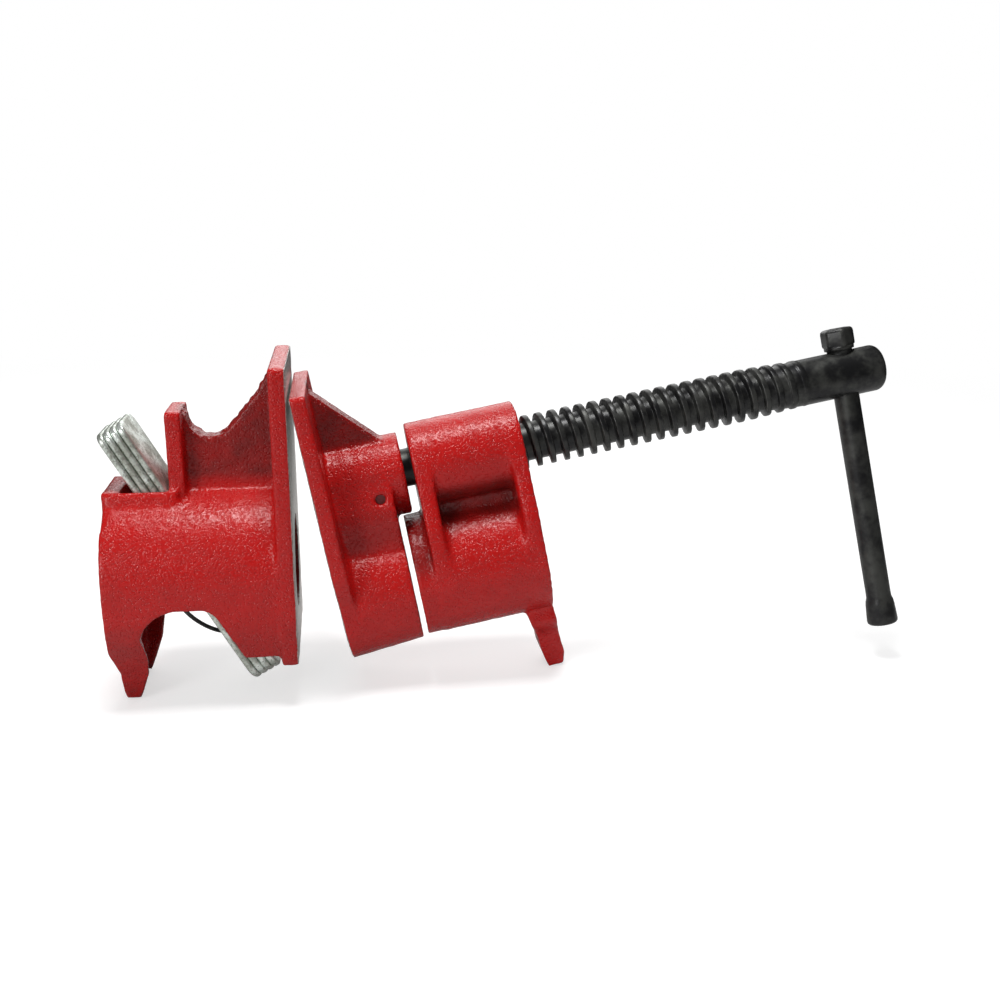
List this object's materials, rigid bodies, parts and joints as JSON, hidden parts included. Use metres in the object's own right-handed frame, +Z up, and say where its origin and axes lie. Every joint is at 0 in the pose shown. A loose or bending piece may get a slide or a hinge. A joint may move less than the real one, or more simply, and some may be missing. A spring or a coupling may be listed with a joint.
{
  "type": "woodworking pipe clamp",
  "caption": "Pipe clamp fixtures: a tail stop with a disc clutch, and a screw head with a moving jaw and a sliding handle bar.",
  "frame": {"origin": "middle of the pipe way in the tail's clamping face", "axes": "+X from the tail towards the screw head along the tail's pipe way, +Z up as the parts stand in the picture"},
  "size_m": [0.2406, 0.048, 0.1043],
  "materials": {
    "red_paint": "red paint over rough cast iron, satin",
    "zinc_steel": "zinc plated stamped steel, dull",
    "spring_steel": "dark spring wire",
    "black_oxide": "black oxide on machined steel, satin"
  },
  "bodies": {
    "jaw": {"moving_jaw": "red_paint", "jaw_pin": "spring_steel"},
    "head": {"head_casting": "red_paint"},
    "screw": {"screw": "black_oxide"},
    "bar": {"handle_bar": "black_oxide"},
    "tail": {"tail_casting": "red_paint", "clutch_spring": "spring_steel"},
    "clutch": {"clutch_plate_1": "zinc_steel", "clutch_plate_2": "zinc_steel", "clutch_plate_3": "zinc_steel", "clutch_plate_4": "zinc_steel"}
  },
  "joints": [
    {"name": "screw_spin", "type": "hinge", "parent": "jaw", "child": "screw", "pos_m": [0.00607, 0, 0.02218], "axis": [-0.9833, 0, -0.1822], "range_deg": [0, 6400]},
    {"name": "head_travel", "type": "slide", "parent": "jaw", "child": "head", "axis": [0.9833, 0, 0.1822], "range_m": [0, 0.075]},
    {"name": "bar_slide", "type": "slide", "parent": "screw", "child": "bar", "axis": [-0.1802, 0.1495, 0.9722], "range_m": [0, 0.062]},
    {"name": "tail_travel", "type": "slide", "parent": "jaw", "child": "tail", "axis": [-1, 0, 0], "range_m": [0, 0.25]},
    {"name": "clutch_tilt", "type": "hinge", "parent": "tail", "child": "clutch", "pos_m": [-0.03495, 0, 0.0246], "axis": [0, 1, 0], "range_deg": [0, 22], "stiffness_Nm_per_rad": 0.3, "springref_deg": -20.05, "deforming": ["clutch_spring"]}
  ],
  "couplings": [
    {"joint": "head_travel", "follows": "screw_spin", "m_per_rad": 0.00066845}
  ]
}
